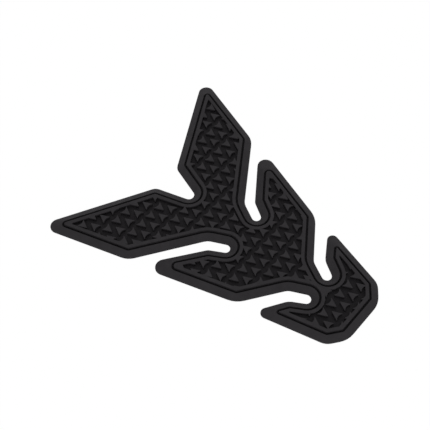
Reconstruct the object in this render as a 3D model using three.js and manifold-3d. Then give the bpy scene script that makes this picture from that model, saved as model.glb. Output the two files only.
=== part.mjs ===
// Motorcycle tank pad: one moulding of black rubber in the shape of a spine with three pairs of fins.
// Millimetres, +Z up. The pad lies flat on Z = 0 with its tail to +Y and its nose to -Y.
import * as THREE from "three";
import { mergeGeometries, mergeVertices } from "three/addons/utils/BufferGeometryUtils.js";
import Module from "manifold-3d";

// Corners of the outline. Each is a circle that the edge wraps round, placed from another corner: along
// towards the nose, and across to the side. The slots are placed by half of the neck between them.
// A hollow corner bends into the pad. Some tips have a rounding of their own at the crest of the border
// and at the field.
const notch = { along: 0, across: 0, radius: 3.6, hollow: true };
const wingHeel = { from: notch, along: -15.6, across: 15.6, radius: 6.4 };
const rearSlot = { from: notch, along: 44.8, neck: 12.5, radius: 3, hollow: true };
const wingShoulder = { from: rearSlot, along: -50, across: 35.3, radius: 13 };
const wingTip = { from: wingShoulder, along: -42.5, across: 21.9, radius: 5.3 };
const wingFoot = { from: rearSlot, along: -6.5, across: 9.7, radius: 8.7, hollow: true };
const finHeel = { from: rearSlot, along: -3.7, across: 12.5, radius: 5.9 };
const finTip = { from: finHeel, along: -16.9, across: 22.8, radius: 5.6, crest: 3.5, field: 1.3 };
const finShoulder = { from: rearSlot, along: 19, across: 11.1, radius: 16.4 };
const frontSlot = { from: rearSlot, along: 60.6, neck: 7.4, radius: 3.2, hollow: true };
const finFoot = { from: frontSlot, along: -7.3, across: 8.2, radius: 7.2, hollow: true };
const noseHeel = { from: frontSlot, along: -0.2, across: 15.4, radius: 9.9 };
const noseTip = { from: frontSlot, along: -12.6, across: 23.2, radius: 3.6, crest: 1.8 };
const noseShoulder = { from: frontSlot, along: 21.3, across: 7.2, radius: 10.3 };
const noseCorner = { from: frontSlot, along: 20.4, across: 0, radius: 15.4 };

// Section of the edge, from outside in: a thin lip, a sloping border, a groove and a flat rim.
const lipHeight = 0.5;
const borderWidth = 4.65;
const borderHeight = 3.2;
const crestCorner = 2.6;
const grooveWidth = 1.55;
const grooveFloorWidth = 0.75;
const grooveDepth = 1.9;
const rimWidth = 2.15;
const rimHeight = 3.9;
const fieldCorner = 0.4;

// Tread studs: darts in rows across the pad, pointing by turns to the tail and to the nose.
const studHeight = 2.3;
const studLength = 6.6;
const studWidth = 6.3;
const studHollow = 1.3;
const studBlunting = 0.45;
const rowPitch = 14.05;
const studPitch = 8.4;
const tailStudStart = 10.2;
const noseStudStart = 4.7;

const cornerStep = THREE.MathUtils.degToRad(15);
const hollowSteps = 4;
const cutMargin = 1;
const weldDistance = 1e-4;

const rubber = new THREE.MeshStandardMaterial({ color: 0x2e2e30, roughness: 0.75, metalness: 0 });

const corners = [
  notch, wingHeel, wingTip, wingShoulder, wingFoot, rearSlot, finHeel, finTip, finShoulder, finFoot,
  frontSlot, noseHeel, noseTip, noseShoulder, noseCorner,
];
const fieldInset = borderWidth + grooveWidth + rimWidth;
const floorHeight = rimHeight - studHeight;
const { tail, nose } = reach();
const middle = (tail + nose) / 2;

const wasm = await Module();
wasm.setup();

// Where a corner lies: along from the notch, and across from the centre line.
function place({ from, along, across, neck, radius }) {
  const base = from ? place(from) : { along: 0, across: 0 };
  return { along: base.along + along, across: neck ? neck + radius : base.across + across };
}

// Where the outline starts and ends along the centre line.
function reach() {
  return {
    tail: place(wingTip).along - wingTip.radius,
    nose: place(noseCorner).along + noseCorner.radius,
  };
}

// A corner circle on one side of the pad, in the part's frame. Its bend is positive where it bulges.
function circle(corner, side) {
  const { along, across } = place(corner);
  const bend = corner.hollow ? -corner.radius : corner.radius;
  return { centre: new THREE.Vector2(side * across, middle - along), bend };
}

// Direction along an edge with this heading, and direction out of the pad across it.
const forward = (angle) => new THREE.Vector2(Math.cos(angle), Math.sin(angle));
const outward = (angle) => new THREE.Vector2(Math.sin(angle), -Math.cos(angle));

// The straight edge that leaves one circle and meets the next, moved in by an inset: its heading,
// with the pad on its left, and how far out it lies from the origin.
function edge(a, b, inset) {
  const across = b.centre.clone().sub(a.centre);
  const angle = across.angle() - Math.asin((b.bend - a.bend) / across.length());
  return { angle, out: outward(angle).dot(a.centre) + a.bend - inset };
}

// Where two edges cross when both are moved in by a distance.
function crossing(a, b, distance = 0) {
  return forward(a.angle)
    .multiplyScalar(b.out - distance)
    .addScaledVector(forward(b.angle), distance - a.out)
    .divideScalar(Math.sin(b.angle - a.angle));
}

// A corner between two edges that are moved in by an inset. Its turn is negative in a hollow, and its
// rounding too, which widens with the inset. roundingOf gives the rounding where the corner bulges.
function bendAt(before, after, corner, side, inset, roundingOf) {
  const least = (corner.hollow ? -1.5 : -0.5) * Math.PI;
  const turn = THREE.MathUtils.euclideanModulo(after.angle - before.angle - least, 2 * Math.PI) + least;
  const hollow = turn < 0;
  const rounding = hollow ? -corner.radius - inset : Math.max(roundingOf(corner), 0);
  const steps = 2 * Math.ceil(Math.abs(turn) / (2 * cornerStep));
  return { before, after, turn, rounding, hollow, steps, centre: circle(corner, side).centre };
}

// Length that is left of the edge between two corners, before the bulging ones are rounded.
function span(a, b) {
  const [start, end] = [a, b].map((c) => (c.hollow ? c.centre.clone() : crossing(c.before, c.after)));
  return end.sub(start).dot(forward(a.after.angle));
}

// Two corners as one, where the inset has used up the edge between them.
function merged(a, b) {
  const rounding = Math.min(a.rounding, b.rounding);
  return { ...a, after: b.after, turn: a.turn + b.turn, rounding, steps: a.steps + b.steps + 1 };
}

// A bulging corner with its rounding limited by the edges beside it.
function fitted(bend, previous, next) {
  if (bend.hollow) return bend;
  const sides = [[previous, span(previous, bend)], [next, span(bend, next)]];
  const rooms = sides.map(([other, length]) => (other.hollow ? length : length / 2));
  const room = Math.max(Math.min(...rooms), 0);
  return { ...bend, rounding: Math.min(bend.rounding, room / Math.tan(bend.turn / 2)) };
}

// Points round a corner. A rounding of nothing puts them all where the edges cross.
function arc(bend) {
  const { before, after, turn, rounding, steps } = bend;
  const centre = bend.hollow ? bend.centre : crossing(before, after, rounding);
  const angles = Array.from({ length: steps + 1 }, (_, k) => before.angle + (turn * k) / steps);
  return angles.map((angle) => centre.clone().addScaledVector(outward(angle), rounding));
}

// Half of the outline moved in by an inset, from the notch to the nose. Every inset has as many points.
function halfRing(inset, roundingOf) {
  const side = -1;
  const half = corners.map((corner) => circle(corner, side));
  const chain = [circle(wingHeel, -side), ...half, circle(noseCorner, -side)];
  const edges = half.map((c, i) => edge(chain[i], c, inset));
  edges.push(edge(half.at(-1), chain.at(-1), inset));
  const bends = corners.map((c, i) => bendAt(edges[i], edges[i + 1], c, side, inset, roundingOf));
  for (let i = 1; i < bends.length; ) {
    const bulging = !bends[i - 1].hollow && !bends[i].hollow;
    const gone = bulging && span(bends[i - 1], bends[i]) <= 0;
    if (gone) bends.splice(i - 1, 2, merged(bends[i - 1], bends[i]));
    i = gone ? Math.max(i - 1, 1) : i + 1;
  }
  const inner = bends.slice(1, -1).map((bend, i) => fitted(bend, bends[i], bends[i + 2]));
  const points = [bends[0], ...inner, bends.at(-1)].flatMap(arc).slice(bends[0].steps / 2);
  points.push(new THREE.Vector2(0, points.at(-1).y));
  points[0].x = 0;
  return points;
}

const mirror = (points) => points.map((p) => new THREE.Vector2(-p.x, p.y)).reverse();

// The whole outline moved in by an inset, anticlockwise from above.
function ring(inset, roundingOf) {
  const half = halfRing(inset, roundingOf);
  return [...half, ...mirror(half.slice(1, -1))];
}

// A closed body through rings of equal length, each at its own height, with flat ends.
function loft(levels) {
  const count = levels[0].points.length;
  const position = levels.flatMap(({ points, z }) => points.flatMap((p) => [p.x, p.y, z]));
  const index = [];
  for (let level = 0; level < levels.length - 1; level++)
    for (let i = 0; i < count; i++) {
      const a = level * count + i;
      const b = level * count + ((i + 1) % count);
      index.push(a, b, b + count, a, b + count, a + count);
    }
  const top = (levels.length - 1) * count;
  for (const [a, b, c] of THREE.ShapeUtils.triangulateShape(levels[0].points, []))
    index.push(a, c, b);
  for (const [a, b, c] of THREE.ShapeUtils.triangulateShape(levels.at(-1).points, []))
    index.push(top + a, top + b, top + c);
  const geometry = new THREE.BufferGeometry();
  geometry.setAttribute("position", new THREE.Float32BufferAttribute(position, 3));
  geometry.setIndex(index);
  return geometry;
}

// The moulding before its tread: lip, border, groove and rim, with a flat top.
function blank() {
  const outline = ring(0, (corner) => corner.radius);
  const inner = (step) => ring(borderWidth + step, ({ crest = crestCorner }) => crest - step);
  const grooveWall = (grooveWidth - grooveFloorWidth) / 2;
  return loft([
    { points: outline, z: 0 },
    { points: outline, z: lipHeight },
    { points: inner(0), z: borderHeight },
    { points: inner(grooveWall), z: borderHeight - grooveDepth },
    { points: inner(grooveWidth - grooveWall), z: borderHeight - grooveDepth },
    { points: inner(grooveWidth), z: rimHeight },
  ]);
}

// The fields inside the rim. Where the pad is narrower than two rims the rims meet, and the field is
// cut in two on the centre line.
function fields() {
  const half = halfRing(fieldInset, ({ field = fieldCorner }) => field);
  const pieces = [];
  let piece = [half[0]];
  for (let i = 1; i < half.length; i++) {
    const [p, q] = [half[i - 1], half[i]];
    if (p.x * q.x < 0) {
      piece.push(new THREE.Vector2(0, p.y + ((q.y - p.y) * p.x) / (p.x - q.x)));
      if (p.x < 0) pieces.push(piece);
      piece = [piece.at(-1)];
    }
    piece.push(q);
  }
  pieces.push(piece);
  return pieces.map((side) => new THREE.Shape([...side, ...mirror(side.slice(1, -1))]));
}

// One stud seen from above, pointing to +Y at the origin, with a hollow back and blunt corners.
function dart() {
  const point = new THREE.Vector2();
  const left = new THREE.Vector2(-studWidth / 2, -studLength);
  const right = new THREE.Vector2(studWidth / 2, -studLength);
  const pull = new THREE.Vector2(0, 2 * studHollow - studLength);
  const back = new THREE.QuadraticBezierCurve(left, pull, right);
  const cut = studBlunting / studLength;
  const between = (a, b) => a.clone().lerp(b, cut);
  const shareOf = (k) => cut + ((1 - 2 * cut) * k) / hollowSteps;
  const hollow = Array.from({ length: hollowSteps + 1 }, (_, k) => back.getPoint(shareOf(k)));
  const front = [between(right, point), between(point, right), between(point, left), between(left, point)];
  const seenFromAbove = new THREE.Shape([...front, ...hollow]);
  return prism(seenFromAbove, floorHeight - cutMargin, rimHeight + 2 * cutMargin);
}

// An upright prism between two heights.
function prism(shape, bottom, top) {
  const settings = { depth: top - bottom, bevelEnabled: false };
  return new THREE.ExtrudeGeometry(shape, settings).translate(0, 0, bottom);
}

// All studs that can reach a field, in rows across the pad.
function studs() {
  const columns = Math.ceil(place(wingTip).across / studPitch) + 1;
  const tailStud = dart();
  const noseStud = dart().rotateZ(Math.PI).translate(0, -studLength, 0);
  const placed = [];
  const firstRow = Math.floor((tail - tailStudStart) / rowPitch);
  const lastRow = Math.ceil((nose - noseStudStart) / rowPitch);
  for (let row = firstRow; row <= lastRow; row++)
    for (let column = -columns; column <= columns; column++) {
      const x = column * studPitch;
      const y = middle - row * rowPitch;
      placed.push(tailStud.clone().translate(x, y - tailStudStart, 0));
      placed.push(noseStud.clone().translate(x + studPitch / 2, y - noseStudStart, 0));
    }
  return mergeGeometries(placed);
}

// A closed geometry as a solid that can be cut and joined.
function solid(geometry) {
  const bare = new THREE.BufferGeometry();
  bare.setAttribute("position", geometry.getAttribute("position"));
  bare.setIndex(geometry.index);
  const welded = mergeVertices(bare, weldDistance);
  const faces = [];
  const index = welded.index.array;
  for (let i = 0; i < index.length; i += 3) {
    const [a, b, c] = index.slice(i, i + 3);
    if (a !== b && b !== c && c !== a) faces.push(a, b, c);
  }
  return new wasm.Manifold(
    new wasm.Mesh({
      numProp: 3,
      vertProperties: welded.attributes.position.array,
      triVerts: new Uint32Array(faces),
    }),
  );
}

// A solid as a geometry again.
function geometryOf(body) {
  const mesh = body.getMesh();
  const geometry = new THREE.BufferGeometry();
  geometry.setAttribute("position", new THREE.BufferAttribute(mesh.vertProperties, 3));
  geometry.setIndex(new THREE.BufferAttribute(mesh.triVerts, 1));
  geometry.computeVertexNormals();
  return geometry;
}

// The pad: the blank with its fields sunk to the floor, and the studs left standing in them.
function tankPad() {
  const tread = solid(studs());
  let body = solid(blank());
  for (const field of fields()) {
    const recess = solid(prism(field, floorHeight, rimHeight + cutMargin));
    body = body.subtract(recess.subtract(tread));
  }
  const mesh = new THREE.Mesh(geometryOf(body), rubber);
  mesh.name = "tank_pad";
  return mesh;
}

const part = new THREE.Group();
part.add(tankPad());
export default part;
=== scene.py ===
"""Looks of a motorcycle tank pad: one black rubber moulding with rounded edges and a fine grain."""

import math

import bmesh
import bpy
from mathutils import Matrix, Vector


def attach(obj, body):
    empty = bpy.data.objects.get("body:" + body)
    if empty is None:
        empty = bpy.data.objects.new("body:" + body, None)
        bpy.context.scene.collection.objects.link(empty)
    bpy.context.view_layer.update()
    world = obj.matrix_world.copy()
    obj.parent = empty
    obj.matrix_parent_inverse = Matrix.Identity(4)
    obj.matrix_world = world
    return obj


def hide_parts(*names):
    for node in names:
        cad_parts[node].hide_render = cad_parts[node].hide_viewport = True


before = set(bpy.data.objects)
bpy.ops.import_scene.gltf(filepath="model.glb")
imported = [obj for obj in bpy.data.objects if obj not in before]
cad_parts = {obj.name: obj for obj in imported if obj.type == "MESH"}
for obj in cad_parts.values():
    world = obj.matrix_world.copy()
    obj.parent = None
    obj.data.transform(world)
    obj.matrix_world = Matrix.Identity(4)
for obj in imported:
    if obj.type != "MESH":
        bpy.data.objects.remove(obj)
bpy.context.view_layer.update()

MM = 0.001
NODE = "tank_pad"

# The mesh made from the CAD solid, in millimetres and degrees.
WELD = 0.002  # points closer than this become one
FLAT_ANGLE = 0.6  # faces that meet at less than this become one
UPPER_NORMAL = 0.5  # a face looks up if its unit normal rises by more than this
EDGE_ROUNDING = 0.22  # how far a rounding reaches from its edge over each face
ROUNDING_STEPS = 4  # strips across a rounding
EDGE_SHARE = 0.45  # most of an edge that the rounding at one of its ends takes up
MITRE_LIMIT = 2  # most that a corner of a rounding runs out, in widths of the rounding
SHARP_ANGLE = 32  # edges that bend by more than this stay hard
BACK_HEIGHT = 0.01  # points higher than this aren't on the back
LEVEL = 0.1  # the groove's bottom lies within this of its lowest point

# The rubber, in linear colours.
RUBBER_DARK = (0.0238, 0.0221, 0.0242, 1)
RUBBER_LIGHT = (0.0303, 0.0281, 0.0308, 1)
RUBBER_ROUGHNESS = (0.58, 0.74)
RUBBER_SPECULAR = 0.11
# Painted shade: a darker colour and a weaker shine painted into the recesses, where shade falls.
PAINTED_SHADE_COLOUR = (0.0055, 0.0047, 0.0056, 1)
PAINTED_SHADE_SPECULAR = 0.02

# How much painted shade the sunk corners of each kind of recess take, from 0 to 1; tops take none.
PAINTED_SHADE_ATTRIBUTE = "painted_shade"
FIELD_PAINTED_SHADE = 0.52
GROOVE_PAINTED_SHADE = 0.55
WALL_PAINTED_SHADE = 0.85

# The rubber's mottling and grain, with sizes in millimetres.
MOTTLING = {"size": 9, "detail": 5, "roughness": 0.65}
GLOSS_SPOTS = {"size": 3, "detail": 3, "roughness": 0.5}
GRAIN = {"size": 0.6, "detail": 3, "roughness": 0.6}
GRAIN_DEPTH = 0.03
GRAIN_STRENGTH = 0.5
NOISE_RANGE = (0.3, 0.7)  # most values of the noise lie in here

# The camera of the photograph, fitted to the pad's outline, in millimetres and degrees.
IMAGE_SIDE = 430
FOCAL_PIXELS = 896
SENSOR = 36
CAMERA_AZIMUTH = -49.39
CAMERA_ELEVATION = 58.0
CAMERA_DISTANCE = 582.4
CAMERA_TARGET = (-0.53, 20.87, 0)
CLIP_SHARE = 0.01  # the camera sees nothing nearer than this share of its distance

# The studio, in metres, watts and degrees.
WHITE = (1, 1, 1, 1)
FLOOR_SIDE = 6
FLOOR_COLOUR = (0.86, 0.86, 0.86, 1)
FLOOR_WHITENESS = 0.9
FLOOR_GLOW = 1.035
SKY_STRENGTH = 0.69
LAMP_DISTANCE = 1.6
LAMP_SIDE = 1.2
LAMPS = {
    "back_lamp": {"azimuth": 140, "elevation": 50, "power": 2.5},
    "front_lamp": {"azimuth": -45, "elevation": 25, "power": 4},
}


def from_direction(azimuth, elevation):
    """Unit vector from the pad towards a lamp or the camera, with azimuth 0 on the side of -Y."""
    a, e = math.radians(azimuth), math.radians(elevation)
    return Vector((math.sin(a) * math.cos(e), -math.cos(a) * math.cos(e), math.sin(e)))


def placed(name, data, azimuth, elevation, distance, target):
    """An object in the scene that looks at a target, level with the horizon."""
    thing = bpy.data.objects.new(name, data)
    bpy.context.scene.collection.objects.link(thing)
    direction = from_direction(azimuth, elevation)
    thing.location = target + direction * distance
    thing.rotation_mode = "QUATERNION"
    thing.rotation_quaternion = (-direction).to_track_quat("-Z", "Y")
    return thing


def noise(tree, size, detail, roughness):
    """Noise over the object's own place, with blobs of about this size in millimetres."""
    place = tree.nodes.new("ShaderNodeTexCoord")
    node = tree.nodes.new("ShaderNodeTexNoise")
    node.inputs["Scale"].default_value = 1 / (size * MM)
    node.inputs["Detail"].default_value = detail
    node.inputs["Roughness"].default_value = roughness
    tree.links.new(place.outputs["Object"], node.inputs["Vector"])
    return node.outputs["Fac"]


def spread(tree, value, low, high):
    """A noise value stretched to run from low to high."""
    node = tree.nodes.new("ShaderNodeMapRange")
    node.inputs["From Min"].default_value = NOISE_RANGE[0]
    node.inputs["From Max"].default_value = NOISE_RANGE[1]
    node.inputs["To Min"].default_value = low
    node.inputs["To Max"].default_value = high
    tree.links.new(value, node.inputs["Value"])
    return node.outputs["Result"]


def mixed(tree, share, a, b):
    """A colour between two others, each a fixed colour or a socket."""
    node = tree.nodes.new("ShaderNodeMix")
    node.data_type = "RGBA"
    tree.links.new(share, node.inputs["Factor"])
    for name, colour in (("A", a), ("B", b)):
        if isinstance(colour, tuple):
            node.inputs[name].default_value = colour
        else:
            tree.links.new(colour, node.inputs[name])
    return node.outputs["Result"]


def rubber_material():
    """Matte black rubber, faintly mottled and finely grained, with painted shade darkening it in
    its recesses.
    """
    material = bpy.data.materials.new("rubber")
    material.use_nodes = True
    tree = material.node_tree
    shader = tree.nodes["Principled BSDF"]

    # Painted shade: each corner's share of the darker recess colour and weaker shine.
    painted_shade = tree.nodes.new("ShaderNodeAttribute")
    painted_shade.attribute_name = PAINTED_SHADE_ATTRIBUTE
    shade_share = painted_shade.outputs["Fac"]
    mottling = spread(tree, noise(tree, **MOTTLING), 0, 1)
    surface = mixed(tree, mottling, RUBBER_DARK, RUBBER_LIGHT)
    tree.links.new(mixed(tree, shade_share, surface, PAINTED_SHADE_COLOUR), shader.inputs["Base Color"])

    # Painted shade: the shine also weakens in the recesses.
    shine = tree.nodes.new("ShaderNodeMapRange")
    shine.inputs["To Min"].default_value = RUBBER_SPECULAR
    shine.inputs["To Max"].default_value = PAINTED_SHADE_SPECULAR
    tree.links.new(shade_share, shine.inputs["Value"])
    tree.links.new(shine.outputs["Result"], shader.inputs["Specular IOR Level"])

    gloss = spread(tree, noise(tree, **GLOSS_SPOTS), *RUBBER_ROUGHNESS)
    tree.links.new(gloss, shader.inputs["Roughness"])

    bump = tree.nodes.new("ShaderNodeBump")
    bump.inputs["Strength"].default_value = GRAIN_STRENGTH
    bump.inputs["Distance"].default_value = GRAIN_DEPTH * MM
    tree.links.new(noise(tree, **GRAIN), bump.inputs["Height"])
    tree.links.new(bump.outputs["Normal"], shader.inputs["Normal"])
    return material


def solid(node):
    """The CAD solid in millimetres, with its flat faces joined."""
    bm = bmesh.new()
    bm.from_mesh(node.data)
    bmesh.ops.scale(bm, vec=(1 / MM,) * 3, verts=bm.verts)
    bmesh.ops.remove_doubles(bm, verts=bm.verts, dist=WELD)
    flat = math.radians(FLAT_ANGLE)
    bmesh.ops.dissolve_limit(bm, angle_limit=flat, verts=bm.verts, edges=bm.edges)
    bm.normal_update()
    bm.verts.index_update()
    return bm


def is_upper(face):
    """Whether a face looks up, as the border, the rim, the studs' tops and the floors do."""
    return face.normal.z > UPPER_NORMAL


def wall_tops(bm):
    """Bulging edges between a face that looks up and a wall: each start, with its end."""
    tops = {}
    for face in filter(is_upper, bm.faces):
        for side in face.loops:
            if side.edge.is_convex and not all(map(is_upper, side.edge.link_faces)):
                tops[side.vert] = side.link_loop_next.vert
    return tops


def way_in(vert, headings, upper):
    """Way from a wall's top over its upper or its wall faces, to a distance of 1 from its edges."""
    normal = Vector()
    for corner in vert.link_loops:
        if is_upper(corner.face) == upper:
            normal += corner.face.normal * corner.calc_angle()
    way = normal.cross(sum(headings, Vector())).normalized()
    if not upper:
        way.negate()
    clear = sum((way - heading * way.dot(heading)).length for heading in headings) / 2
    return way / max(clear, 1 / MITRE_LIMIT)


def rounding_at(vert, before, after):
    """Points of the rounding at one corner of a wall's top, from its upper face to its wall."""
    edges = [vert.co - before.co, after.co - vert.co]
    headings = [edge.normalized() for edge in edges]
    over, down = way_in(vert, headings, True), way_in(vert, headings, False)
    width = EDGE_ROUNDING
    for way in (over, down):
        for edge, used in zip(edges, (-way.dot(headings[0]), way.dot(headings[1]))):
            if used > 0:
                width = min(width, EDGE_SHARE * edge.length / used)
    steps = [k / ROUNDING_STEPS for k in range(ROUNDING_STEPS + 1)]
    return [vert.co + (over * (1 - t) ** 2 + down * t**2) * width for t in steps]


def painted_shade_of(face, groove):
    """How much painted shade a face's sunk corners take. Those below the groove's level lie in the
    groove.
    """
    if min(vert.co.z for vert in face.verts) < groove:
        return GROOVE_PAINTED_SHADE
    return FIELD_PAINTED_SHADE if is_upper(face) else WALL_PAINTED_SHADE


def rounded(node):
    """The CAD solid's mesh with rounded edges at the tops of its walls, and painted shade marked on
    the corners of its recesses.
    """
    bm = solid(node)
    after = wall_tops(bm)
    before = {end: start for start, end in after.items()}
    places = [vert.co.copy() for vert in bm.verts]
    rows = {}
    for vert in after:
        points = rounding_at(vert, before[vert], after[vert])
        rows[vert] = range(len(places), len(places) + len(points))
        places += points

    sunk = {vert for vert in bm.verts if vert not in after and vert.co.z > BACK_HEIGHT}
    groove = min(vert.co.z for vert in sunk) + LEVEL
    faces, painted_shade = [], []
    for face in bm.faces:
        nearest = 0 if is_upper(face) else -1
        faces.append([rows[vert][nearest] if vert in rows else vert.index for vert in face.verts])
        # Painted shade: sunk corners of floors, walls and the groove get their share; tops and
        # roundings get none.
        bottom_shade = painted_shade_of(face, groove)
        painted_shade += [bottom_shade if vert in sunk else 0.0 for vert in face.verts]
    for start, end in after.items():
        a, b = rows[start], rows[end]
        for k in range(ROUNDING_STEPS):
            faces.append((a[k], a[k + 1], b[k + 1], b[k]))
            painted_shade += [0.0] * len(faces[-1])
    bm.free()

    mesh = bpy.data.meshes.new("moulding")
    mesh.from_pydata([place * MM for place in places], [], faces)
    # The painted shade, stored on each corner for the material.
    shade_marks = mesh.attributes.new(PAINTED_SHADE_ATTRIBUTE, "FLOAT", "CORNER")
    shade_marks.data.foreach_set("value", painted_shade)
    return tidied(mesh)


def tidied(mesh):
    """The mesh without points that no face uses, and with its hard edges marked."""
    bm = bmesh.new()
    bm.from_mesh(mesh)
    loose = [vert for vert in bm.verts if not vert.link_faces]
    bmesh.ops.delete(bm, geom=loose, context="VERTS")
    bm.normal_update()
    for edge in bm.edges:
        edge.smooth = edge.calc_face_angle() < math.radians(SHARP_ANGLE)
    for face in bm.faces:
        face.smooth = True
    bm.to_mesh(mesh)
    bm.free()
    return mesh


def moulding():
    """The pad itself, standing for its CAD node."""
    pad = bpy.data.objects.new("moulding", rounded(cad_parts[NODE]))
    bpy.context.scene.collection.objects.link(pad)
    pad.data.materials.append(rubber_material())
    normals = pad.modifiers.new("normals", "WEIGHTED_NORMAL")
    normals.mode = "FACE_AREA_WITH_ANGLE"
    normals.keep_sharp = True
    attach(pad, "root")
    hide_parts(NODE)


def background_rays(tree):
    """1 for rays that show the background in the picture or in a reflection, and 0 for light."""
    rays = tree.nodes.new("ShaderNodeLightPath")
    total = rays.outputs["Is Camera Ray"]
    for name in ("Is Glossy Ray", "Is Transmission Ray"):
        either = tree.nodes.new("ShaderNodeMath")
        either.operation = "MAXIMUM"
        tree.links.new(total, either.inputs[0])
        tree.links.new(rays.outputs[name], either.inputs[1])
        total = either.outputs["Value"]
    return total


def floor_material():
    """A pale matt floor that looks white as a background and still holds a faint shadow."""
    material = bpy.data.materials.new("floor")
    material.use_nodes = True
    tree = material.node_tree
    tree.nodes.clear()
    matt = tree.nodes.new("ShaderNodeBsdfDiffuse")
    matt.inputs["Color"].default_value = FLOOR_COLOUR
    white = tree.nodes.new("ShaderNodeEmission")
    white.inputs["Color"].default_value = WHITE
    white.inputs["Strength"].default_value = FLOOR_GLOW
    share = tree.nodes.new("ShaderNodeMath")
    share.operation = "MULTIPLY"
    share.inputs[1].default_value = FLOOR_WHITENESS
    tree.links.new(background_rays(tree), share.inputs[0])
    mix = tree.nodes.new("ShaderNodeMixShader")
    tree.links.new(share.outputs["Value"], mix.inputs["Fac"])
    tree.links.new(matt.outputs["BSDF"], mix.inputs[1])
    tree.links.new(white.outputs["Emission"], mix.inputs[2])
    output = tree.nodes.new("ShaderNodeOutputMaterial")
    tree.links.new(mix.outputs["Shader"], output.inputs["Surface"])
    return material


def floor():
    """A wide level floor under the pad."""
    half = FLOOR_SIDE / 2
    corners = [(-half, -half, 0), (half, -half, 0), (half, half, 0), (-half, half, 0)]
    mesh = bpy.data.meshes.new("floor")
    mesh.from_pydata(corners, [], [(0, 1, 2, 3)])
    mesh.materials.append(floor_material())
    plane = bpy.data.objects.new("floor", mesh)
    bpy.context.scene.collection.objects.link(plane)


def sky():
    """Soft even light from all round, plain white where it is seen."""
    world = bpy.data.worlds.new("studio")
    world.use_nodes = True
    bpy.context.scene.world = world
    tree = world.node_tree
    tree.nodes.clear()
    light = tree.nodes.new("ShaderNodeBackground")
    light.inputs["Color"].default_value = WHITE
    light.inputs["Strength"].default_value = SKY_STRENGTH
    seen = tree.nodes.new("ShaderNodeBackground")
    seen.inputs["Color"].default_value = WHITE
    mix = tree.nodes.new("ShaderNodeMixShader")
    tree.links.new(background_rays(tree), mix.inputs["Fac"])
    tree.links.new(light.outputs["Background"], mix.inputs[1])
    tree.links.new(seen.outputs["Background"], mix.inputs[2])
    output = tree.nodes.new("ShaderNodeOutputWorld")
    tree.links.new(mix.outputs["Shader"], output.inputs["Surface"])


def lamps():
    """Weak soft lamps behind and in front, which set the studs off from their floor."""
    for name, lamp in LAMPS.items():
        data = bpy.data.lights.new(name, "AREA")
        data.shape = "SQUARE"
        data.size = LAMP_SIDE
        data.energy = lamp["power"]
        placed(name, data, lamp["azimuth"], lamp["elevation"], LAMP_DISTANCE, Vector())


def camera():
    """The camera of the photograph."""
    data = bpy.data.cameras.new("camera")
    data.sensor_width = SENSOR
    data.lens = FOCAL_PIXELS / IMAGE_SIDE * SENSOR
    distance = CAMERA_DISTANCE * MM
    data.clip_start = CLIP_SHARE * distance
    target = Vector(CAMERA_TARGET) * MM
    thing = placed("camera", data, CAMERA_AZIMUTH, CAMERA_ELEVATION, distance, target)
    bpy.context.scene.camera = thing


bpy.context.scene.view_settings.view_transform = "Standard"
moulding()
floor()
sky()
lamps()
camera()

bpy.context.view_layer.update()
